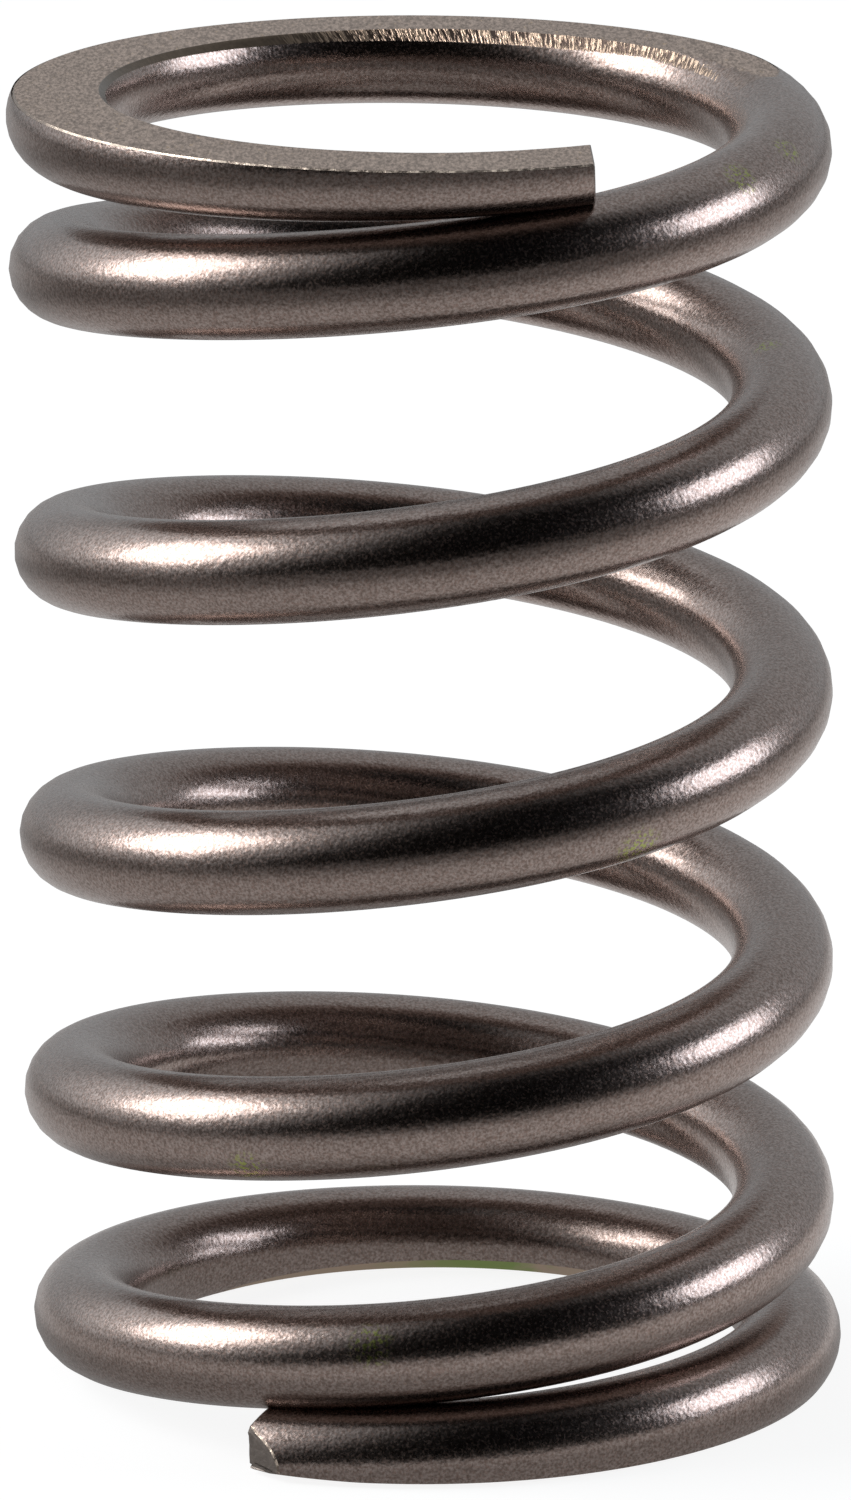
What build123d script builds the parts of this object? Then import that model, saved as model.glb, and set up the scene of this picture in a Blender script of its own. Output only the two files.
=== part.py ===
"""Engine valve spring: one length of round wire, wound right-handed, closed and ground flat at both ends.

The frame's origin is the middle of the lower ground face, and +Z is the axis of the coil.
"""
from build123d import *
from math import cos, radians, sin, tan
import os

os.makedirs("parts", exist_ok=True)

# Wire and coil
wire_diameter = 4.0
outside_diameter = 31.9
total_turns = 6.14
lower_tip_angle = 243.5

# Clear gap between neighbouring coils along the active part, counted up from the lower closed coil:
# the spring is wound a little closer at its lower end, and closest in its first half turn
first_half_turn_gap = 4.6
active_gaps = (5.2, 6.55, 7.4, 6.75)

# Each end coil is closed: its tip comes to rest on the next coil with this little room between them
tip_clearance = 0.06

# Height of the wire's centre over its own ground face, in wire radii, at the tip and at each quarter
# turn after it: where it is under 1, the grinding wheel has cut a flat into the wire
lower_end_heights = (0.05, 0.62, 0.50, 0.92)
upper_end_heights = (0.00, 0.44, 0.64, 1.10)

# The end coils spring outwards by this much at their tips
lower_tip_flare = 0.4
upper_tip_flare = 0.1

# A conical cutter breaks the sharp inner edge of each ground face. It meets the face this far
# outside the bore of the coil
chamfer_reach = 0.65
chamfer_angle = 45.0

# Points of the wire's centre line that are worked out for each turn
stations_per_turn = 16

wire_radius = wire_diameter / 2
coil_radius = (outside_diameter - wire_diameter) / 2


def winding_diagram():
    """The wire centre's height at chosen turns, from the lower tip to the upper one, and the free length."""
    closing_rise = wire_diameter + tip_clearance
    diagram = [(quarter / 4, wire_radius * height) for quarter, height in enumerate(lower_end_heights)]
    height = diagram[0][1] + closing_rise
    diagram.append((1.0, height))
    diagram.append((1.5, height + (wire_diameter + first_half_turn_gap) / 2))
    whole_turns = [1.0 + number for number in range(len(active_gaps))]
    turn_ends = whole_turns[1:] + [total_turns - 1]
    for gap, start, end in zip(active_gaps, whole_turns, turn_ends):
        height += (wire_diameter + gap) * (end - start)
        diagram.append((end, height))
    free_length = height + closing_rise + wire_radius * upper_end_heights[0]
    for quarter, below_face in reversed(list(enumerate(upper_end_heights))):
        diagram.append((total_turns - quarter / 4, free_length - wire_radius * below_face))
    return diagram, free_length


def slopes(diagram):
    """Rise per turn at each station of the diagram, from the rises on both sides of it."""
    spans = [end[0] - start[0] for start, end in zip(diagram, diagram[1:])]
    rises = [(end[1] - start[1]) / span for start, end, span in zip(diagram, diagram[1:], spans)]
    inner = [
        (rises[i] * spans[i + 1] + rises[i + 1] * spans[i]) / (spans[i] + spans[i + 1])
        for i in range(len(rises) - 1)
    ]
    return [2 * rises[0] - inner[0]] + inner + [2 * rises[-1] - inner[-1]]


def height_at(diagram, turn):
    """Height of the wire's centre, on a smooth curve through the diagram's stations."""
    index = sum(1 for station in diagram[1:-1] if station[0] <= turn)
    (turn_0, height_0), (turn_1, height_1) = diagram[index], diagram[index + 1]
    span = turn_1 - turn_0
    t = (turn - turn_0) / span
    slope_0, slope_1 = slopes(diagram)[index:index + 2]
    return (
        (2 * t**3 - 3 * t**2 + 1) * height_0
        + (t**3 - 2 * t**2 + t) * span * slope_0
        + (3 * t**2 - 2 * t**3) * height_1
        + (t**3 - t**2) * span * slope_1
    )


def wire_centre(diagram, turn):
    """Point of the wire's centre line at a number of turns from the lower tip."""
    lower_flare = lower_tip_flare * max(0.0, 1 - turn)
    upper_flare = upper_tip_flare * max(0.0, 1 - (total_turns - turn))
    radius = coil_radius + lower_flare + upper_flare
    angle = radians(lower_tip_angle + 360 * turn)
    return (radius * cos(angle), radius * sin(angle), height_at(diagram, turn))


diagram, free_length = winding_diagram()
station_count = round(total_turns * stations_per_turn)
centre_points = [wire_centre(diagram, total_turns * i / station_count) for i in range(station_count + 1)]

# The cone of the cutter, from well outside the face down to its own tip
cutter_radius = coil_radius - wire_radius + chamfer_reach
cutter_depth = cutter_radius * tan(radians(chamfer_angle))
cutter_overrun = wire_diameter
cutter_rim = cutter_radius + cutter_overrun / tan(radians(chamfer_angle))

with BuildPart() as valve_spring:
    with BuildLine():
        centre_line = Spline(*centre_points)
    with BuildSketch(Plane(origin=centre_line @ 0, z_dir=centre_line % 0)):
        Circle(wire_radius)
    sweep(path=centre_line, is_frenet=True)
    split(bisect_by=Plane.XY, keep=Keep.TOP)
    split(bisect_by=Plane.XY.offset(free_length), keep=Keep.BOTTOM)
    for face_height, outward in ((0.0, -1), (free_length, 1)):
        with BuildSketch(Plane.XZ):
            with BuildLine():
                Polyline(
                    (0, face_height - outward * cutter_depth),
                    (cutter_rim, face_height + outward * cutter_overrun),
                    (0, face_height + outward * cutter_overrun),
                    close=True,
                )
            make_face()
        revolve(axis=Axis.Z, mode=Mode.SUBTRACT)
valve_spring.part.label = "valve_spring"

export_step(valve_spring.part, "parts/valve_spring.step")
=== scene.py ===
# %% [markdown]
# # An engine valve spring
#
# A valve spring is one length of hard round wire, wound into a coil. Its end coils are wound closed,
# so that they touch their neighbours, and then ground flat, so that the spring stands square on its
# seat. Its skin is shot-peened: a stream of small steel balls hammers the whole surface, which leaves
# fine overlapping dimples and a satin bronze-grey sheen.
#
# The script first rebuilds the wire as a fine mesh inside the packed solid's own box. Then it writes
# the finishes, and last it sets up the floor, the light and the camera. All lengths are in millimetres
# until the mesh is made, because that is how a spring maker measures.

# %% Load the frame
from math import cos, radians, sin, tan

import bpy
import numpy as np
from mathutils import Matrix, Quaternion, Vector


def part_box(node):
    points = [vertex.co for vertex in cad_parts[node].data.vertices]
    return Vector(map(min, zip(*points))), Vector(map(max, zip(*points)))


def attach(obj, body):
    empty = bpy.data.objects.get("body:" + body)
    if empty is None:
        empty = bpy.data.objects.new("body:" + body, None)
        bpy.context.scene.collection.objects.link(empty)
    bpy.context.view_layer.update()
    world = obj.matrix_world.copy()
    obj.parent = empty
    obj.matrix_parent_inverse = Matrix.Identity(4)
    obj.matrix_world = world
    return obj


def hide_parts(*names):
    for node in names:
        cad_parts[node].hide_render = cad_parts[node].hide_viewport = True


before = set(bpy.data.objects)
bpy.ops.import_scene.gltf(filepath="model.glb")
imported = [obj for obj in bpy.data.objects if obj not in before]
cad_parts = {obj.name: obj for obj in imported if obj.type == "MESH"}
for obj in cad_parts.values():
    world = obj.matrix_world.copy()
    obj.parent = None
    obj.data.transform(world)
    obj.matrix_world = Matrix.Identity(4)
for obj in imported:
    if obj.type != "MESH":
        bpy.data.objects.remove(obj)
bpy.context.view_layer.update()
MM = 0.001
free_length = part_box("valve_spring")[1].z / MM
print("free length", round(free_length, 3), "mm")

# %% [markdown]
# ## The winding
#
# A spring maker sets up the winding machine with a diagram: how high the wire stands after each turn.
# The wire is 4 mm thick, the coil turns to the right, and the clear gap between neighbouring coils is
# a little smaller at the lower end. Both end coils come to rest on the coil next to them.
#
# The solid was made from a diagram of the same kind. Here the end coils follow the photograph a little
# more closely: their heights are set finer, both tips spring outwards, and the lowest coil is wound a
# little tighter on its left. The room at a tip is less than nothing: the drawn wires press into each
# other a little, as real ones can't, so that no light shows between them. A curve or a screw modifier
# could wind a coil too, but end coils that change height and radius as they go are easier to work out
# point by point.

# %% The winding diagram
wire_radius = 2.0
coil_radius = 13.95
total_turns = 6.14
lower_tip_angle = radians(243.5)
first_half_turn_gap = 4.6
active_gaps = (5.2, 6.55, 7.4, 6.75)
tip_room = -0.25
lower_end_heights = (0.2, 0.66, 0.50, 0.92)
upper_end_heights = (0.10, 0.45, 0.64, 1.08)
lower_tip_flare = 0.4
upper_flare_turns = 0.3
upper_tip_flare = 0.3
pinch_turn = 0.88
pinch_width = 0.14
pinch_depth = 0.32


def winding_stations():
    """Turns and heights that the wire's centre passes through, from the lower tip to the upper."""
    pitch = 2 * wire_radius
    closing_rise = pitch + tip_room
    stations = [(quarter / 4, wire_radius * share) for quarter, share in enumerate(lower_end_heights)]
    height = stations[0][1] + closing_rise
    stations.append((1.0, height))
    stations.append((1.5, height + (pitch + first_half_turn_gap) / 2))
    whole_turns = [1.0 + number for number in range(len(active_gaps))]
    turn_ends = whole_turns[1:] + [total_turns - 1]
    for gap, start, end in zip(active_gaps, whole_turns, turn_ends):
        height += (pitch + gap) * (end - start)
        stations.append((end, height))
    for quarter, share in reversed(list(enumerate(upper_end_heights))):
        stations.append((total_turns - quarter / 4, free_length - wire_radius * share))
    return np.array(stations).T


station_turn, station_height = winding_stations()
span = np.diff(station_turn)
rise = np.diff(station_height) / span
inner_slope = (rise[:-1] * span[1:] + rise[1:] * span[:-1]) / (span[:-1] + span[1:])
first_slope = 2 * rise[0] - inner_slope[0]
last_slope = 2 * rise[-1] - inner_slope[-1]
station_slope = np.concatenate([[first_slope], inner_slope, [last_slope]])
print("stations of the winding diagram:", len(station_turn))


def wire_height(turn):
    """Height of the wire's centre over the lower ground face, in millimetres."""
    i = np.clip(np.searchsorted(station_turn, turn, side="right") - 1, 0, len(span) - 1)
    t = (turn - station_turn[i]) / span[i]
    return (
        (2 * t**3 - 3 * t**2 + 1) * station_height[i]
        + (t**3 - 2 * t**2 + t) * span[i] * station_slope[i]
        + (3 * t**2 - 2 * t**3) * station_height[i + 1]
        + (t**3 - t**2) * span[i] * station_slope[i + 1]
    )


def wire_coil_radius(turn):
    """Distance from the spring's axis to the wire's centre, in millimetres."""
    lower_flare = lower_tip_flare * np.maximum(0, 1 - turn)
    upper_flare = upper_tip_flare * np.maximum(0, 1 - (total_turns - turn) / upper_flare_turns)
    tighter = pinch_depth * np.exp(-(((turn - pinch_turn) / pinch_width) ** 2))
    return coil_radius + lower_flare + upper_flare - tighter


# %% [markdown]
# ## Rings along the wire
#
# The mesh is a chain of rings, each in the plane that the wire crosses at a right angle. The end coils
# carry the fine edges, so their rings stand closer together. Each ring has a radial direction, away
# from the axis, and an upward one.

# %% Rings and their directions
lower_end_rings = 240
active_rings = 500
upper_end_rings = 640
end_turns = 1.1
crowding = 1.2


def ring_turns():
    """The turns at which the rings stand: closest at the tips, widest in the middle."""
    lower = end_turns * (np.arange(lower_end_rings) / lower_end_rings) ** crowding
    middle = np.linspace(end_turns, total_turns - end_turns, active_rings, endpoint=False)
    upper = end_turns * (np.arange(upper_end_rings + 1) / upper_end_rings) ** crowding
    return np.concatenate([lower, middle, total_turns - upper[::-1]])


turn = ring_turns()
angle = lower_tip_angle + 2 * np.pi * turn
ring_radius = wire_coil_radius(turn)
ring_height = wire_height(turn)
outward = np.stack([np.cos(angle), np.sin(angle), np.zeros_like(angle)], 1)
centre = outward * ring_radius[:, None]
centre[:, 2] = ring_height
tiny_turn = 1e-4
climb = (wire_height(turn + tiny_turn) - wire_height(turn - tiny_turn)) / (2 * tiny_turn)
slope = np.arctan2(climb, 2 * np.pi * ring_radius)
around_axis = np.stack([-np.sin(angle), np.cos(angle), np.zeros_like(angle)], 1)
upward = -np.sin(slope)[:, None] * around_axis
upward[:, 2] = np.cos(slope)
onward = np.cross(upward, outward)
step_length = np.linalg.norm(np.diff(centre, axis=0), axis=1)
from_lower_tip = np.concatenate([[0], np.cumsum(step_length)])
from_upper_tip = from_lower_tip[-1] - from_lower_tip
print("rings:", len(turn), "wire length", round(float(from_lower_tip[-1]), 1), "mm")

# %% [markdown]
# ## The section of the wire
#
# Away from the ends the section is a plain circle. The grinding wheel takes its top or bottom off, so
# there it has a flat. A conical cutter then breaks the sharp inner edge of the flat with a narrow band
# at 45 degrees. Neither tool is quite true on the real spring: both ground faces lean by half a degree
# or so, the cutter stood a little to the right, and past the flat it only skimmed the wire.
#
# Boolean cuts would give these shapes too, but they leave untidy faces along a thin feathered edge.
# Here every ring has the same points in the same order: the outer arc, the upper flat and band, the
# inner arc, the lower band and flat. Where nothing is cut, the points of a flat or a band simply lie on
# the circle.
#
# The corners of the cuts come first, each as a point of the section, written as (outwards, upwards).
# The points between them are found with rays from a pole inside the section, which stop at whatever
# they meet first: the wire's own skin, the ground face or the cutter's cone.

# %% The cuts at both ends
cutter_radius = coil_radius - wire_radius + 0.6
cutter_shift = 0.2
upper_face_tilt = 0.013
lower_face_tilt = 0.009
spring_radius = coil_radius + wire_radius


def upper_face_height(x):
    """Height of the upper ground face, which dips a little to the right."""
    return free_length - upper_face_tilt * np.clip(x + spring_radius, 0, None)


def lower_face_height(x):
    """Height of the lower ground face, which rises a little to the left."""
    return lower_face_tilt * np.clip(spring_radius - x, 0, None)


uncut = 10.0
in_lower_half = turn < total_turns / 2
rise_share = np.cos(slope)
above_lower_face = ring_height - lower_face_height(centre[:, 0])
below_upper_face = upper_face_height(centre[:, 0]) - ring_height
lower_face = np.where(in_lower_half, above_lower_face / rise_share, uncut)
upper_face = np.where(in_lower_half, uncut, below_upper_face / rise_share)


half_root = np.sqrt(0.5)


def cone_distance(face):
    """Distance from the wire's centre to the cutter's cone that breaks the inner edge of a face."""
    return (ring_radius + face - cutter_radius - cutter_shift * outward[:, 0]) * half_root


lower_band_extra = 0.06
just_clear = 0.01
skim_depth = 0.035
skim_turns = (0.30, 0.36, 0.72, 0.77)
skim = skim_depth * np.interp(total_turns - turn, skim_turns, (0, 1, 1, 0))
lower_cone = cone_distance(lower_face) - lower_band_extra
upper_cone = np.minimum(cone_distance(upper_face), wire_radius + just_clear - skim)


least_half_angle = radians(5)


def cut_corners(face, cone):
    """Corners of an upper cut: the flat's outer end, where it meets the band, the band's inner end."""
    flat_half = np.arccos(np.clip(face / wire_radius, -1, 1))
    band_half = np.maximum(np.arccos(np.clip(cone / wire_radius, -1, 1)), least_half_angle)
    flat_start = np.pi / 2 - np.maximum(flat_half, least_half_angle)
    flat_end = np.pi / 2 + flat_half
    band_middle = 3 * np.pi / 4
    band_start = band_middle - band_half
    band_end = band_middle + band_half
    outer_end = wire_radius * np.stack([np.cos(flat_start), np.sin(flat_start)], 1)
    inner_end = wire_radius * np.stack([np.cos(band_end), np.sin(band_end)], 1)
    on_skin = wire_radius * np.stack([np.cos(band_start), np.sin(band_start)], 1)
    on_flat = np.stack([face - np.minimum(cone, wire_radius) / half_root, face], 1)
    meeting = np.where((band_start < flat_end)[:, None], on_flat, on_skin)
    return outer_end, meeting, inner_end


upside_down = np.array([1, -1])
upper_corners = cut_corners(upper_face, upper_cone)
lower_corners = [corner * upside_down for corner in cut_corners(lower_face, lower_cone)]
print("widest flat", round(float(2 * upper_corners[0][:, 0].max()), 2), "mm")

# %% Points of every ring
pole_offset = 0.4 * wire_radius
pole_share = np.interp(turn, [end_turns, total_turns - end_turns], [1, -1])
pole = np.stack([np.zeros_like(turn), pole_offset * pole_share], 1)
point_counts = {
    "outer arc": 16,
    "upper flat": 12,
    "upper band": 5,
    "inner arc": 16,
    "lower band": 5,
    "lower flat": 12,
}
corner_order = [lower_corners[0], *upper_corners, *reversed(lower_corners)]


def ray_angles():
    """Angle of each ray from the pole, with the rays closest together near the corners."""
    from_pole = [corner - pole for corner in corner_order]
    at_corner = np.unwrap(np.stack([np.arctan2(p[:, 1], p[:, 0]) for p in from_pole], 1), axis=1)
    columns = []
    for part, count in enumerate(point_counts.values()):
        share = (1 - np.cos(np.pi * np.arange(count) / count)) / 2
        start, end = at_corner[:, part], at_corner[:, part + 1]
        columns.append(start[:, None] + (end - start)[:, None] * share[None, :])
    return np.concatenate(columns, 1)


def reach(directions, normal, distance):
    """How far rays from the pole go before they meet a straight cut with this normal and distance."""
    sideways = 1e-6
    towards = directions @ normal
    room = distance[:, None] - (pole @ normal)[:, None]
    return np.where(towards > sideways, room / np.maximum(towards, sideways), np.inf)


ray_angle = ray_angles()
ray = np.stack([np.cos(ray_angle), np.sin(ray_angle)], 2)
along_ray = np.einsum("rk,rpk->rp", pole, ray)
to_skin = -along_ray + np.sqrt(along_ray**2 + wire_radius**2 - (pole**2).sum(1)[:, None])
ray_length = np.min(
    [
        to_skin,
        reach(ray, np.array([0, 1]), upper_face),
        reach(ray, np.array([-half_root, half_root]), upper_cone),
        reach(ray, np.array([0, -1]), lower_face),
        reach(ray, np.array([-half_root, -half_root]), lower_cone),
    ],
    axis=0,
)
section = pole[:, None, :] + ray_length[:, :, None] * ray
cut_depth = wire_radius - np.linalg.norm(section, axis=2)
print("points in a ring:", section.shape[1], "deepest cut", round(float(cut_depth.max()), 2), "mm")

# %% [markdown]
# ## The broken edge of the ground face
#
# Grinding leaves a sharp outer edge, and handling breaks it. What is left is a ragged little bevel, up
# to about 0.3 mm high, which catches the light from the left as a broken bright line. A bevel modifier
# would make it even, and an even line looks drawn. So the column of points at the outer end of each
# flat moves down the skin, by an amount that wanders along the wire, and the next column moves inwards
# a little, so that the bevel leans.

# %% Break the outer edge
bevel_height = 0.28
bevel_patch = 0.9
nick_patch = 0.2
inset_share = 0.2
bevel_onset = 0.97 * wire_radius
onset_depth = 0.1
chance = np.random.default_rng(12)


def uneven(patch, least, most):
    """A random value between two limits for every ring, in patches about this many millimetres long."""
    knots = np.arange(0, from_lower_tip[-1] + patch, patch)
    return least + (most - least) * np.interp(from_lower_tip, knots, chance.random(len(knots)))


column_start = np.cumsum([0, *point_counts.values()])
bevel = bevel_height * uneven(bevel_patch, 0.5, 1.0) * uneven(nick_patch, 0.5, 1.2)
ground_share = {}
for corner, on_flat, face, down in (
    (column_start[0], -1, lower_face, 1),
    (column_start[1], column_start[1] + 1, upper_face, -1),
):
    share = np.clip((bevel_onset - face) / onset_depth, 0, 1)
    inset = section[:, on_flat, 0] - section[:, corner, 0] + inset_share * bevel
    section[:, on_flat, 0] -= np.maximum(0, inset) * share
    corner_up = section[:, corner, 1] + down * bevel * share
    corner_out = np.sqrt(np.maximum(wire_radius**2 - corner_up**2, 0))
    section[:, corner, 0] = np.where(share > 0, corner_out, section[:, corner, 0])
    section[:, corner, 1] = corner_up
    ground_share[corner] = share
print("widest bevel", round(float(bevel.max()), 3), "mm")

# %% [markdown]
# ## The two tips
#
# The wire was sheared off the coil before its ends were ground. The upper tip is cut at a slant, so
# that its inner side reaches further, and its inner corner is rounded off. The shear tore an upright
# facet out of the outer side of the lower tip, and the top of that tip slopes back like a shoulder.
# Each tip is described by how far its end lies behind a square end, at every point of the section, so
# that the rings and the end itself can share one rule.

# %% How far the ends lie back
tip_slant = radians(22.5)
corner_rounding = 0.5
upper_tip_trim = 0.08
facet_start = 1.37
facet_lean = 2.3
shoulder_start = 1.35
shoulder_lean = 0.7


def upper_setback(out, up):
    """The upper tip's slanted cut, with its inner corner rounded."""
    into_corner = np.clip(corner_rounding - wire_radius - out, 0, corner_rounding)
    rounding = corner_rounding - np.sqrt(corner_rounding**2 - into_corner**2)
    return upper_tip_trim + rounding - tan(tip_slant) * (wire_radius - out)


def lower_setback(out, up):
    """The lower tip's torn facet and its shoulder."""
    facet = facet_lean * np.maximum(out - facet_start, 0)
    shoulder = shoulder_lean * np.maximum(up - shoulder_start, 0)
    return facet + shoulder


inner_reach = -upper_setback(corner_rounding - wire_radius, 0)
print("inner side of the upper tip reaches", round(float(inner_reach), 2), "mm further")

# %% [markdown]
# ## The mesh
#
# Each section point goes to its place in space, and neighbouring rings are joined by four-sided faces.
# Near a tip the rings are pushed back by the tip's own rule, less and less over the next few
# millimetres. Each end is closed by ever smaller rings. Last, every point is held between the two
# ground faces, as if the wheel went over the whole end once more, and the wire is drawn a hair narrower
# so that it stays inside the solid's box.

# %% Points of the wire
points_round = section.shape[1]
tip_reach = 4.0
tip_shrink = (0.97, 0.92, 0.86, 0.8, 0.74, 0.68, 0.62, 0.56, 0.5, 0.35, 0.2)
tip_edge = 0.05
drawn_share = 0.9997


def place_ring(index, flat_points):
    """Points of a section, given as (outwards, upwards), in the plane of one ring."""
    return centre[index] + flat_points[:, :1] * outward[index] + flat_points[:, 1:] * upward[index]


def close_tip(index, setback, away):
    """Ever smaller rings that close a tip. They follow the tip's own rule."""
    rings = []
    middle = section[index].mean(0)
    for share in tip_shrink:
        flat_points = middle + (section[index] - middle) * share
        back = setback(flat_points[:, 0], flat_points[:, 1]) - tip_edge
        rings.append(place_ring(index, flat_points) - back[:, None] * away * onward[index])
    return rings


def fade_from(distance):
    """1 at a tip, falling to 0 at the end of its reach, as one column for all the points of a ring."""
    return np.clip(1 - distance / tip_reach, 0, 1)[:, None]


ring_points = (
    centre[:, None, :]
    + section[:, :, :1] * outward[:, None, :]
    + section[:, :, 1:] * upward[:, None, :]
)
section_out, section_up = section[:, :, 0], section[:, :, 1]
lower_push = lower_setback(section_out, section_up) * fade_from(from_lower_tip)
upper_push = upper_setback(section_out, section_up) * fade_from(from_upper_tip)
ring_points += (lower_push - upper_push)[:, :, None] * onward[:, None, :]
lower_tip = close_tip(0, lower_setback, -1)
upper_tip = close_tip(len(turn) - 1, upper_setback, 1)
all_rings = np.concatenate([np.stack(lower_tip[::-1]), ring_points, np.stack(upper_tip)])
all_rings[:, :, 2] = np.minimum(all_rings[:, :, 2], upper_face_height(all_rings[:, :, 0]))
all_rings[:, :, 2] = np.maximum(all_rings[:, :, 2], lower_face_height(all_rings[:, :, 0]))
all_rings[:, :, :2] *= drawn_share
print("rings with the tips:", len(all_rings))

# %% [markdown]
# ## Which face gets which finish
#
# Five finishes share the wire: the peened skin, the ground faces, the band of the cutter, the torn tips
# and the broken edge. A face belongs to the part of the section that it comes from, but only on the
# stretch that a tool has really touched. The depth of the cut stays with each vertex as an attribute,
# so that a finish can fade out where the wheel only skimmed the skin.

# %% Slots of the faces
peened_slot, ground_slot, band_slot, tip_slot, bevel_slot = range(5)
slot_of_part = {
    "outer arc": peened_slot,
    "upper flat": ground_slot,
    "upper band": band_slot,
    "inner arc": peened_slot,
    "lower band": band_slot,
    "lower flat": ground_slot,
}
ring_slots = np.repeat([slot_of_part[part] for part in point_counts], list(point_counts.values()))
tip_slots = np.full((len(tip_shrink) - 1, points_round), tip_slot)
rim_slots = np.full((1, points_round), tip_slot)
body_slots = np.tile(ring_slots, (len(turn) - 1, 1))
first_column = dict(zip(point_counts, column_start))
cut_of_part = {
    "upper flat": upper_face,
    "upper band": upper_cone,
    "lower band": lower_cone,
    "lower flat": lower_face,
}
for part, distance in cut_of_part.items():
    whole_rings = np.flatnonzero(distance[:-1] > wire_radius)
    columns = first_column[part] + np.arange(point_counts[part])
    body_slots[np.ix_(whole_rings, columns)] = peened_slot
body_slots[0, section[0, :, 0] > facet_start] = bevel_slot
well_ground = 0.9
bevel_columns = {column_start[0]: -1, column_start[1]: column_start[1]}
skin_columns = {column_start[0]: 0, column_start[1]: column_start[1] - 1}
for corner, share in ground_share.items():
    bevelled_rings = np.flatnonzero(share[:-1] > well_ground)
    body_slots[bevelled_rings, bevel_columns[corner]] = bevel_slot
    body_slots[bevelled_rings, skin_columns[corner]] = peened_slot
face_slots = np.concatenate([tip_slots, rim_slots, body_slots, rim_slots, tip_slots]).ravel()
print("faces of each finish:", np.bincount(face_slots).tolist())

# %% [markdown]
# ## Smooth, with crisp edges
#
# The mesh is shaded smooth, so that the wire looks round. Where two faces meet at more than a set
# angle, as at the edge of a ground face, the shading breaks there and the edge stays crisp.

# %% Build the mesh
def joined_faces(ring_count):
    """Four-sided faces between each ring and the next one, as rows of vertex numbers."""
    start = np.arange(ring_count - 1)[:, None] * points_round
    here = np.arange(points_round)[None, :]
    after = (here + 1) % points_round
    corners = [start + here, start + after, start + points_round + after, start + points_round + here]
    return np.stack(corners, 2).reshape(-1, 4)


crisp_angle = radians(22)
vertices = all_rings.reshape(-1, 3)
quads = joined_faces(len(all_rings))
first_cap = list(range(points_round))[::-1]
last_cap = list(range(len(vertices) - points_round, len(vertices)))
wire_mesh = bpy.data.meshes.new("spring_wire")
wire_mesh.from_pydata((vertices * MM).tolist(), [], quads.tolist() + [first_cap, last_cap])
all_slots = np.append(face_slots, [tip_slot, tip_slot]).astype(np.int32)
wire_mesh.polygons.foreach_set("material_index", all_slots)
wire_mesh.shade_smooth()
wire_mesh.set_sharp_from_angle(angle=crisp_angle)
uncut_tip = np.zeros((len(tip_shrink), points_round))
depth_values = np.concatenate([uncut_tip, cut_depth, uncut_tip]).astype(np.float32)
depth_attribute = wire_mesh.attributes.new("cut_depth", "FLOAT", "POINT")
depth_attribute.data.foreach_set("value", depth_values.ravel())
wire = bpy.data.objects.new("spring_wire", wire_mesh)
bpy.context.scene.collection.objects.link(wire)
print("triangles", 2 * len(quads) + 2 * (points_round - 2))

# %% [markdown]
# ## Writing a finish
#
# A finish is a small graph of nodes. Written node by node it is long and hard to read, so one class
# stands for an output socket and can be used in sums: `1 - mask` adds a Math node by itself. A second
# class holds the material and has one method that adds any other node.

# %% Sums on sockets
class Value:
    """An output socket that can be used in a sum of numbers."""

    def __init__(self, graph, socket):
        self.graph = graph
        self.socket = socket

    def sum_with(self, operation, first, second):
        """The outcome of a Math node that takes two terms."""
        return self.graph.node("ShaderNodeMath", {"operation": operation}, {0: first, 1: second})

    def outlet(self, name):
        """Another output of the same node."""
        return Value(self.graph, self.socket.node.outputs[name])

    def __add__(self, other):
        return self.sum_with("ADD", self, other)

    def __sub__(self, other):
        return self.sum_with("SUBTRACT", self, other)

    def __rsub__(self, other):
        return self.sum_with("SUBTRACT", other, self)

    def __mul__(self, other):
        return self.sum_with("MULTIPLY", self, other)

    __radd__ = __add__
    __rmul__ = __mul__


print("a number may stand first in:", [name for name in vars(Value) if name.startswith("__r")])

# %% Nodes of a finish
class Graph:
    """The nodes of a material or of the world, while they are being written."""

    def __init__(self, owner):
        self.owner = owner
        owner.use_nodes = True
        self.tree = owner.node_tree
        self.tree.nodes.clear()

    def node(self, kind, settings=None, sockets=None, output=0):
        """Adds a node: its settings first, then the numbers, colours or links of its sockets."""
        made = self.tree.nodes.new(kind)
        for name, value in (settings or {}).items():
            setattr(made, name, value)
        for name, value in (sockets or {}).items():
            if isinstance(value, Value):
                self.tree.links.new(value.socket, made.inputs[name])
            else:
                made.inputs[name].default_value = value
        outlet = made.outputs[output] if made.outputs else None
        return Value(self, outlet)

    def ease(self, value, low, high):
        """0 under low, 1 over high, and a smooth step between them."""
        settings = {"interpolation_type": "SMOOTHSTEP"}
        return self.node("ShaderNodeMapRange", settings, {"Value": value, "From Min": low, "From Max": high})

    def blend(self, mask, under, over):
        """One colour over another where the mask is 1."""
        return self.node("ShaderNodeMix", {"data_type": "RGBA"}, {0: mask, 6: under, 7: over}, 2)

    def noise(self, place, size, detail=2.0, roughness=0.5):
        """Soft noise from 0 to 1, with patches about this many millimetres wide."""
        sockets = {"Vector": place, "Scale": 1 / size, "Detail": detail, "Roughness": roughness}
        return self.node("ShaderNodeTexNoise", None, sockets)


# %% [markdown]
# ## What the finishes share
#
# Every finish on the spring is metal, so one helper builds the shader and another measures places on
# the object in millimetres. Then each finish only has to say its colour, its roughness and how high its
# relief stands. There are no layers: rust, flecks and paint specks only change the colour and the
# roughness, because they are too small for anyone to see what they are made of.

# %% A metal finish
white = (1, 1, 1, 1)
black = (0, 0, 0, 1)


def new_finish(name):
    """The empty graph of a new material."""
    return Graph(bpy.data.materials.new(name))


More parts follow.
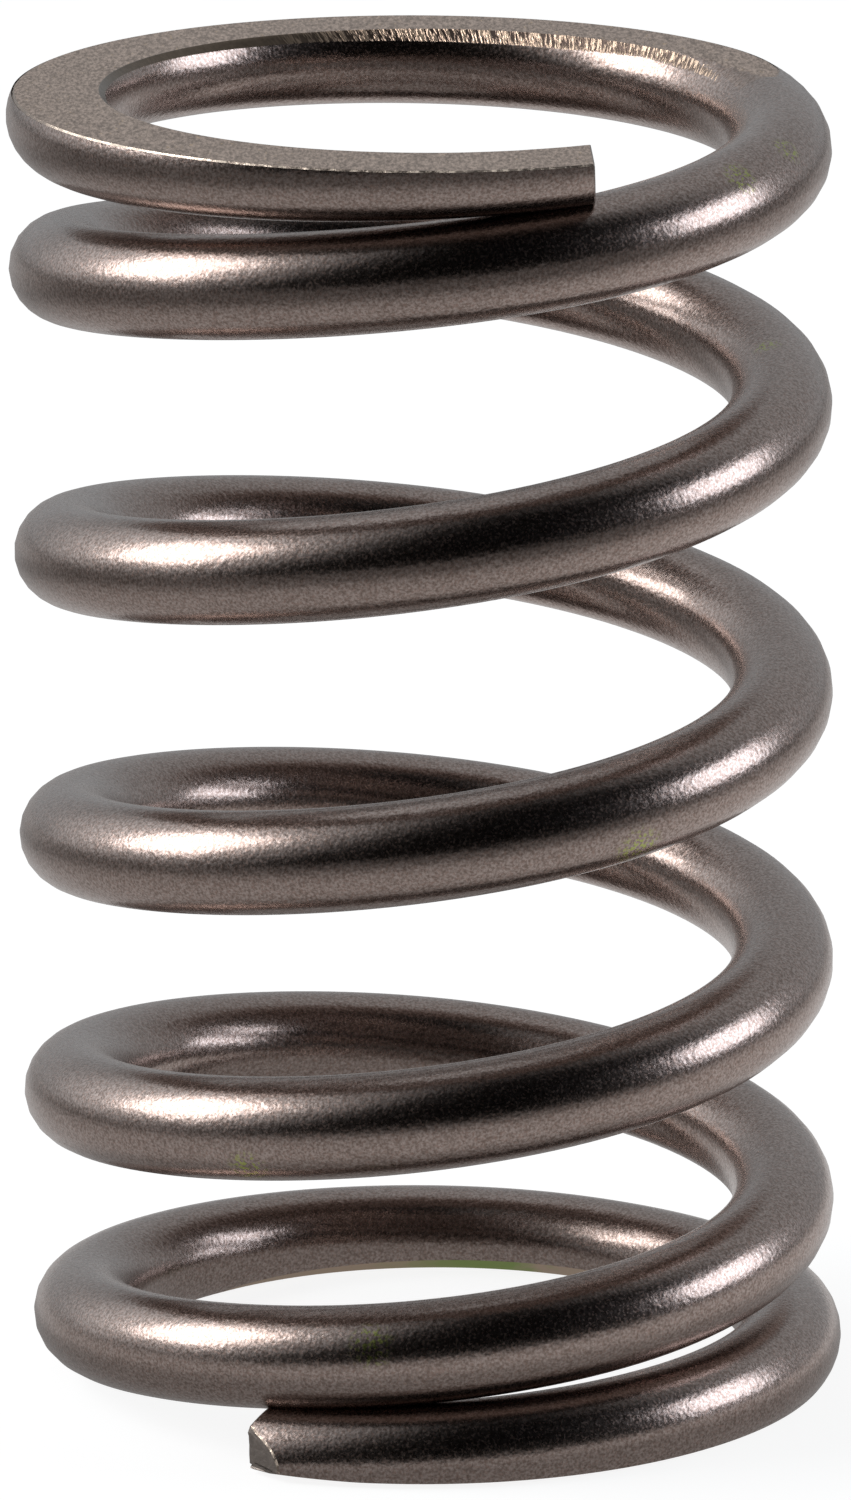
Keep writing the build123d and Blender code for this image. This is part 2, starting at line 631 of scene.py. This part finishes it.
def millimetre_space(finish):
    """Place on the object, in millimetres."""
    place = finish.node("ShaderNodeTexCoord", output="Object")
    return finish.node("ShaderNodeVectorMath", {"operation": "SCALE"}, {0: place, "Scale": 1 / MM})


def metal(finish, colour, roughness, height, metallic=1.0, edge_tint=white):
    """Bare metal with this colour, roughness and height of relief in millimetres."""
    relief = finish.node("ShaderNodeBump", None, {"Height": height, "Distance": MM, "Strength": 1.0})
    sockets = {
        "Base Color": colour,
        "Metallic": metallic,
        "Roughness": roughness,
        "Normal": relief,
        "Specular Tint": edge_tint,
    }
    shader = finish.node("ShaderNodeBsdfPrincipled", None, sockets)
    finish.node("ShaderNodeOutputMaterial", None, {"Surface": shader})
    print(finish.owner.name, "nodes:", len(finish.tree.nodes))


# %% [markdown]
# ## Specks of marking paint
#
# A few specks of yellow-green marking paint are left on the real wire. Noise alone would put specks
# everywhere, so each patch of specks has a named spot: the turn along the wire, the degrees round the
# section from outwards to upwards, and how far the patch reaches in millimetres.

# %% Paint spots
spot_core = 0.3
paint_spots = {
    "second coil, underside": (2.0, -35, 1.0),
    "lowest coil, front": (1.05, 29, 1.1),
    "third coil, underside": (3.16, -35, 1.2),
    "fourth coil, top": (4.33, 105, 0.7),
    "top coil, right": (5.22, 48, 0.9),
    "top coil, far right": (5.26, 50, 0.8),
    "ground face, back right": (5.446, 75, 0.6),
}


def spot_place(turn, around):
    """Place on the wire's skin at this turn along it and this many degrees round its section."""
    angle = lower_tip_angle + 2 * np.pi * turn
    around = radians(around)
    out = wire_coil_radius(turn) + wire_radius * cos(around)
    return Vector((out * cos(angle), out * sin(angle), wire_height(turn) + wire_radius * sin(around)))


def near_spot(finish, place, turn, around, reach):
    """1 at a spot on the wire, easing to 0 at its reach in millimetres."""
    settings = {"operation": "DISTANCE"}
    spot = spot_place(turn, around)
    far = finish.node("ShaderNodeVectorMath", settings, {0: place, 1: spot}, "Value")
    return 1 - finish.ease(far, spot_core * reach, reach)


print("paint spots:", len(paint_spots))

# %% [markdown]
# ## Shot-peened steel
#
# Small steel balls have hammered the whole wire, so its skin is a field of fine dimples under a thin
# brown oxide. The oxide is too thin to hide the metal, so the finish is metal all over, in a dark and a
# worn brown with a little rust. The dimples are a quarter of a millimetre wide, too small to show in
# the outline, so they are a bump and not mesh. A tiled picture would show a seam somewhere along a
# coiled wire. Noise that fills space has no seam.

# %% Peened wire
speckle_size = 0.11
cloud_size = 3.0
dimple_size = 0.24
rust_size = 0.1
speck_size = 0.16
dark_oxides = ((0.19, 0.137, 0.117, 1), (0.23, 0.175, 0.15, 1))
worn_oxides = ((0.42, 0.345, 0.315, 1), (0.46, 0.375, 0.345, 1))
rust_colour = (0.38, 0.26, 0.22, 1)
rust_share = 0.5
paint_colour = (0.42, 0.47, 0.12, 1)
paint_share = 0.8
skin_smoothest = 0.22
speckle_roughness = 0.05
rust_roughness = 0.1
dimple_depth = 0.012
speckle_depth = 0.003


def peened_skin(finish, place):
    """Colour, roughness and relief of the hammered wire."""
    speckle = finish.noise(place, speckle_size, 2.0, 0.6)
    clouds = finish.noise(place, cloud_size, 3.0)
    dimples = finish.noise(place, dimple_size, 1.0)
    rust = finish.ease(finish.noise(place, rust_size, 1.0), 0.52, 0.7)
    dark_oxide = finish.blend(clouds, *dark_oxides)
    worn_oxide = finish.blend(clouds, *worn_oxides)
    oxide = finish.blend(finish.ease(speckle, 0.3, 0.7), dark_oxide, worn_oxide)
    rusted = finish.blend(rust_share * rust, oxide, rust_colour)
    specks = finish.ease(finish.noise(place, speck_size, 1.0), 0.5, 0.6)
    painted = sum(near_spot(finish, place, *spot) for spot in paint_spots.values())
    colour = finish.blend(paint_share * specks * painted, rusted, paint_colour)
    roughness = skin_smoothest + speckle_roughness * speckle + rust_roughness * rust
    relief = dimple_depth * dimples + speckle_depth * speckle
    return colour, roughness, relief


peened = new_finish("peened_wire")
metal(peened, *peened_skin(peened, millimetre_space(peened)))

# %% [markdown]
# ## The ground face
#
# The grinding wheel takes the oxide off and leaves bare steel with short scratches: paler than the
# wire's skin, and duller. The scratches are noise that is stretched from front to back. Where the wheel
# only just touched the skin the face frays out, so the depth of the cut, made uneven by more noise,
# decides how much of the old skin still shows.

# %% Ground face
wheel_stretch = (1.0, 0.3, 1.0)
ground_fraying = 0.06
ground_through = 0.02
ground_colours = ((0.24, 0.183, 0.153, 1), (0.66, 0.53, 0.455, 1))
fleck_colour = (0.7, 0.52, 0.34, 1)
fleck_share = 0.7
ground_tint = (1.0, 0.95, 0.91, 1)
ground_smoothest = 0.42
grain_roughness = 0.1
grain_depth = 0.004


def depth_of_cut(finish):
    """How deep a tool cut into the skin here, in millimetres."""
    return finish.node("ShaderNodeAttribute", {"attribute_name": "cut_depth"}, output="Fac")


ground = new_finish("ground_face")
place = millimetre_space(ground)
skin_colour, skin_roughness, skin_relief = peened_skin(ground, place)
fraying = ground_fraying * (ground.noise(place, 0.25, 3.0) - 0.5)
touched = ground.ease(depth_of_cut(ground) + fraying, 0.0, ground_through)
wheel_marks = ground.node("ShaderNodeVectorMath", {"operation": "MULTIPLY"}, {0: place, 1: wheel_stretch})
grain = ground.ease(ground.noise(wheel_marks, 0.13, 2.0, 0.7), 0.25, 0.75)
tan_flecks = ground.ease(ground.noise(wheel_marks, 0.2, 3.0, 0.7), 0.62, 0.72)
ground_colour = ground.blend(grain, *ground_colours)
flecked_colour = ground.blend(fleck_share * tan_flecks, ground_colour, fleck_colour)
ground_roughness = ground_smoothest + grain_roughness * grain
metal(
    ground,
    ground.blend(touched, skin_colour, flecked_colour),
    skin_roughness * (1 - touched) + ground_roughness * touched,
    skin_relief * (1 - touched) + grain_depth * grain * touched,
    edge_tint=ground_tint,
)

# %% [markdown]
# ## The broken edge
#
# Handling has rubbed the bevel bright in places and left it dull in others, so the bare metal comes in
# patches. On the left, where the left soft box lights the edge, more of it is bright: a painted highlight.
# At the far left, where the edge turns away from the light, it is painted dull as shade. The bare
# patches are a little less metallic, because then they scatter light as scuffed steel does and stay
# bright from more sides.

# %% Broken edge
dull_edge = (0.3, 0.24, 0.2, 1)
# rubbed bare metal, made pale enough to stand partly for a painted highlight
bare_and_highlight_edge = (1.0, 0.83, 0.68, 1)
# painted highlight: more of the bright colour on the left, where the left soft box lights the edge
left_highlight_extra = 0.2
scatter_share = 0.3
edge_smoothest = 0.3
nick_roughness = 0.15
nick_depth = 0.03

bevelled = new_finish("broken_edge")
place = millimetre_space(bevelled)
nicks = bevelled.noise(place, 0.16, 3.0, 0.7)
x_place = bevelled.node("ShaderNodeSeparateXYZ", None, {0: place}, "X")
left_highlight_side = 1 - bevelled.ease(x_place, -10.0, -5.0)
# painted shade: the edge is kept dull at the far left, where it turns away from the light
outside_far_left_shade = bevelled.ease(x_place, -14.5, -13.0)
rubbed_and_lit = bevelled.noise(place, 0.3, 3.0, 0.6) + left_highlight_extra * left_highlight_side
# bright patches: partly rubbed metal, partly painted highlight, held dull by the painted shade at far left
bare_and_highlight = outside_far_left_shade * bevelled.ease(rubbed_and_lit, 0.48, 0.6)
metal(
    bevelled,
    bevelled.blend(bare_and_highlight, dull_edge, bare_and_highlight_edge),
    edge_smoothest + nick_roughness * nicks,
    nick_depth * nicks,
    metallic=1 - scatter_share * bare_and_highlight,
)

# %% [markdown]
# ## The deburred band
#
# The conical cutter takes the sharp inner edge off each ground face. On the right of the top coil it
# chattered, and left short strokes across the band, where it lifted and fell; their pale copper colour is
# partly a painted glint. On the left it cut without chatter and the band is plain dark brown. The band at
# the bottom is tan, with a streak of green paint at the back. Strokes need to run across the band, so
# their noise is laid out in a place of its own: the distance round the spring, with the height counting
# only a little.

# %% Places along the band
band_radius = 12.6
stroke_lean = 0.5
stroke_stretch = 0.25
chatter_spread = 3.0
paint_spread = 3.0

band = new_finish("deburred_band")
place = millimetre_space(band)
x_place = band.node("ShaderNodeSeparateXYZ", None, {0: place}, "X")
y_place = x_place.outlet("Y")
z_place = x_place.outlet("Z")
round_axis = band.node("ShaderNodeMath", {"operation": "ARCTAN2"}, {0: y_place, 1: x_place})
along_band = band_radius * round_axis - stroke_lean * z_place
stroke_sockets = {0: along_band, 1: stroke_stretch * z_place, 2: 0.0}
stroke_place = band.node("ShaderNodeCombineXYZ", None, stroke_sockets)
teeth = band.noise(stroke_place, 0.13, 2.0, 0.6)
strokes = band.ease(teeth, 0.42, 0.6)
at_top = band.ease(z_place, 20.0, 30.0)
chatter_edge = x_place + chatter_spread * (band.noise(place, 1.5) - 0.5)
chatter = at_top * band.ease(chatter_edge, -7.0, 0.0)
paint_edge = x_place + paint_spread * (band.noise(place, 0.6) - 0.5)
paint = band.ease(paint_edge, -3.0, 2.0) * (1 - band.ease(paint_edge, 3.0, 5.0))
print("one turn of the band:", round(2 * np.pi * band_radius, 1), "mm")

# %% Deburred band
band_browns = ((0.1, 0.075, 0.055, 1), (0.22, 0.165, 0.125, 1))
lower_tan = (0.5, 0.37, 0.27, 1)
lower_green = (0.27, 0.36, 0.1, 1)
# dark gaps and pale copper strokes: real chatter marks, with the pale copper partly a painted glint
stroke_glint_colours = ((0.17, 0.12, 0.1, 1), (0.95, 0.7, 0.52, 1))
chatter_lift = 0.07
band_through = 0.01
band_roughness = 0.32
stroke_depth = 0.03

skin_colour, skin_roughness, skin_relief = peened_skin(band, place)
lifted = chatter_lift * chatter * (teeth - 0.5)
touched = band.ease(depth_of_cut(band) + lifted, 0.0, band_through)
brown_colour = band.blend(band.noise(place, 0.2, 3.0), *band_browns)
lower_colour = band.blend(paint, lower_tan, lower_green)
plain_colour = band.blend(at_top, lower_colour, brown_colour)
stroke_glint_colour = band.blend(strokes, *stroke_glint_colours)
band_colour = band.blend(chatter, plain_colour, stroke_glint_colour)
metal(
    band,
    band.blend(touched, skin_colour, band_colour),
    skin_roughness * (1 - touched) + band_roughness * touched,
    skin_relief * (1 - touched) + stroke_depth * strokes * chatter * touched,
)

# %% [markdown]
# ## The sheared tips
#
# Shearing tears the wire rather than cutting it, so a tip is matt, grey-brown and rough. Coarse noise
# with a lot of detail drives its colour, its roughness and its relief together, so that the high parts
# are also the pale and dull ones.

# %% Sheared tip
torn_size = 0.3
torn_colours = ((0.2, 0.17, 0.15, 1), (0.34, 0.29, 0.26, 1))
tip_smoothest = 0.35
torn_roughness = 0.2
torn_depth = 0.05

sheared = new_finish("sheared_tip")
torn = sheared.noise(millimetre_space(sheared), torn_size, 4.0, 0.6)
metal(
    sheared,
    sheared.blend(torn, *torn_colours),
    tip_smoothest + torn_roughness * torn,
    torn_depth * torn,
)

# %% [markdown]
# ## Taking the solid's place
#
# The finishes go on the mesh in the order of their slots. Then the mesh takes the place of the packed
# solid and rides on the root, because the spring is one piece and nothing in it moves.

# %% Replace the solid
for finish in (peened, ground, band, sheared, bevelled):
    wire_mesh.materials.append(finish.owner)
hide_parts("valve_spring")
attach(wire, "root")
print("finishes:", [material.name for material in wire_mesh.materials])

# %% [markdown]
# ## The floor
#
# The camera sees a floor that is nearly white, with a faint shadow of the spring. The metal sees a
# different one. The wire is a curved mirror, and in the photograph it mirrors a floor with brighter and
# darker parts, so mirror rays meet a darker floor with pools of light: one round the spring, one behind
# it on the right, and one far back. Close under the spring a painted shadow makes it darker still. All
# the levels were set against the photograph. No real floor looks different to a mirror and to a
# camera: this is a trick for a close match, and in other light the spring will look different. A plain
# sheet of paper with lamps over it would be truer, but then its white would also fill the highlights.

# %% Floor
floor_radius = 3.0
floor_grey = (0.2, 0.2, 0.2, 1)
floor_glow = 0.88
contact_shadow_depth = 0.45
near_pool_level = 0.36
back_pool_level = 0.3
back_floor_level = 0.3
far_floor_level = 0.17
under_spring = (0, 0, 0)
back_right = (0.08, 0.07, 0.0)
far_back = (0.0, 0.5, 0.0)

bpy.ops.mesh.primitive_circle_add(vertices=96, radius=floor_radius, fill_type="NGON")
floor = bpy.context.object
floor.name = "floor"
floor_finish = new_finish("pale_floor")
camera_ray = floor_finish.node("ShaderNodeLightPath", output="Is Camera Ray")
mirror_ray = camera_ray.outlet("Is Glossy Ray")
floor_place = floor_finish.node("ShaderNodeNewGeometry")


def pool_of_light(middle, inner, outer):
    """1 within the inner radius of a place on the floor, easing to 0 at the outer radius, in metres."""
    settings = {"operation": "DISTANCE"}
    far = floor_finish.node("ShaderNodeVectorMath", settings, {0: floor_place, 1: middle}, "Value")
    return 1 - floor_finish.ease(far, inner, outer)


# painted shadow: the mirrored floor is darker close under the spring
contact_shadow = 1 - contact_shadow_depth * pool_of_light(under_spring, 0.018, 0.026)
near_pool = near_pool_level * contact_shadow * pool_of_light(under_spring, 0.04, 0.13)
back_pool = back_pool_level * pool_of_light(back_right, 0.05, 0.15)
back_floor = back_floor_level * pool_of_light(far_back, 0.3, 0.5)
mirrored_level = near_pool + contact_shadow * (back_pool + back_floor + far_floor_level)
mirrored_colour = floor_finish.blend(mirrored_level, black, white)
seen_colour = floor_finish.blend(camera_ray, black, (floor_glow, floor_glow, floor_glow, 1))
lit = floor_finish.node("ShaderNodeBsdfDiffuse", None, {"Color": floor_grey})
glow = floor_finish.node("ShaderNodeEmission", None, {"Color": seen_colour, "Strength": 1.0})
open_floor = floor_finish.node("ShaderNodeAddShader", None, {0: lit, 1: glow})
pool = floor_finish.node("ShaderNodeEmission", None, {"Color": mirrored_colour, "Strength": 1.0})
shown = floor_finish.node("ShaderNodeMixShader", None, {0: mirror_ray, 1: open_floor, 2: pool})
floor_finish.node("ShaderNodeOutputMaterial", None, {"Surface": shown})
floor.data.materials.append(floor_finish.owner)
print("floor nodes:", len(floor_finish.tree.nodes))

# %% [markdown]
# ## The light tent
#
# Small shiny things are often photographed in a tent of white cloth. Here the world is that tent. The
# camera sees it plain white. Everything else sees a dim wall at the back, a brighter wall on the left
# and a faint ceiling, and nothing in front, so that the coils keep dark parts between their highlights.
# Each wall is a soft round patch about one direction, because a hard edge would show in the metal.

# %% World
wall_level = 0.47
left_wall_level = 0.6
ceiling_level = 0.05
cool_cloth = (0.94, 1.0, 1.04, 1)
world = bpy.data.worlds.new("light_tent")
bpy.context.scene.world = world
tent = Graph(world)
looking = tent.node("ShaderNodeTexCoord", output="Generated")


def direction(azimuth, elevation):
    """Unit vector from the spring. Azimuth is from the camera's side round to the right, in degrees."""
    a = radians(azimuth)
    e = radians(elevation)
    return Vector((sin(a) * cos(e), -cos(a) * cos(e), sin(e)))


def patch(azimuth, elevation, outer, inner):
    """1 within the inner angle of a direction, easing to 0 at the outer angle, in degrees."""
    settings = {"operation": "DOT_PRODUCT"}
    middle = direction(azimuth, elevation)
    closeness = tent.node("ShaderNodeVectorMath", settings, {0: looking, 1: middle}, "Value")
    return tent.ease(closeness, cos(radians(outer)), cos(radians(inner)))


walls = wall_level * patch(180, 18, 86, 50)
left_wall = left_wall_level * patch(-98, 38, 55, 18)
ceiling = ceiling_level * patch(180, 65, 32, 10)
seen_by_camera = tent.node("ShaderNodeLightPath", output="Is Camera Ray")
tent_colour = tent.blend(seen_by_camera, cool_cloth, white)
level = (walls + left_wall + ceiling) * (1 - seen_by_camera) + seen_by_camera
sky = tent.node("ShaderNodeBackground", None, {"Color": tent_colour, "Strength": level})
tent.node("ShaderNodeOutputWorld", None, {"Surface": sky})
print("tent nodes:", len(tent.tree.nodes))

# %% [markdown]
# ## Two soft boxes
#
# A soft box on each side gives every coil its two long highlights. Their size decides how wide the
# highlights are, and their height where they lie on the round of the wire. The one on the right is a
# little lower, weaker and cooler, as the photograph shows. Sun or point lamps would give thin, hard
# lines instead.

# %% Soft lamps
middle_height = free_length * MM / 2
lamp_distance = 0.6
left_box_level = 5.6
right_box_level = 4.5
cool_light = (0.93, 1.0, 1.1)


def soft_lamp(name, azimuth, elevation, width, height, level):
    """A soft box that faces the middle of the spring, as bright as level times white."""
    lamp_data = bpy.data.lights.new(name, "AREA")
    lamp_data.shape = "RECTANGLE"
    lamp_data.size = width
    lamp_data.size_y = height
    lamp_data.energy = level * np.pi * width * height
    lamp = bpy.data.objects.new(name, lamp_data)
    towards = direction(azimuth, elevation)
    lamp.location = Vector((0, 0, middle_height)) + towards * lamp_distance
    lamp.rotation_euler = towards.to_track_quat("Z", "Y").to_euler()
    bpy.context.scene.collection.objects.link(lamp)
    return lamp


left_box = soft_lamp("left_soft_box", -90, 34, 0.34, 0.36, left_box_level)
right_box = soft_lamp("right_soft_box", 90, 18, 0.32, 0.28, right_box_level)
right_box.data.color = cool_light
print("lamps", round(left_box.data.energy, 2), "W and", round(right_box.data.energy, 2), "W")

# %% [markdown]
# ## The camera
#
# The camera stands where the photographer's stood, as far as the picture tells: its distance, height,
# aim and slight roll were fitted until the coils' outlines met those of the photograph. The focal
# length is kept in pixels of the photograph, because that is how it was fitted, and turned into
# millimetres with the height of the sensor.

# %% Camera
camera_distance = 452.3 * MM
camera_elevation = radians(14.15)
aim_height = 25.1 * MM
camera_roll = radians(-0.6)
focal_pixels = 11557
photo_height = 1500
sensor_height = 36
camera_data = bpy.data.cameras.new("camera")
camera_data.sensor_fit = "VERTICAL"
camera_data.sensor_height = sensor_height
camera_data.lens = focal_pixels / photo_height * sensor_height
camera = bpy.data.objects.new("camera", camera_data)
camera.location = (
    0,
    -camera_distance * cos(camera_elevation),
    middle_height + camera_distance * sin(camera_elevation),
)
sight = Vector((0, 0, aim_height)) - camera.location
camera.rotation_mode = "QUATERNION"
camera.rotation_quaternion = sight.to_track_quat("-Z", "Y") @ Quaternion((0, 0, 1), camera_roll)
bpy.context.scene.collection.objects.link(camera)
bpy.context.scene.camera = camera
bpy.context.scene.view_settings.view_transform = "Standard"
print("lens", round(camera_data.lens, 1), "mm")

# %% [markdown]
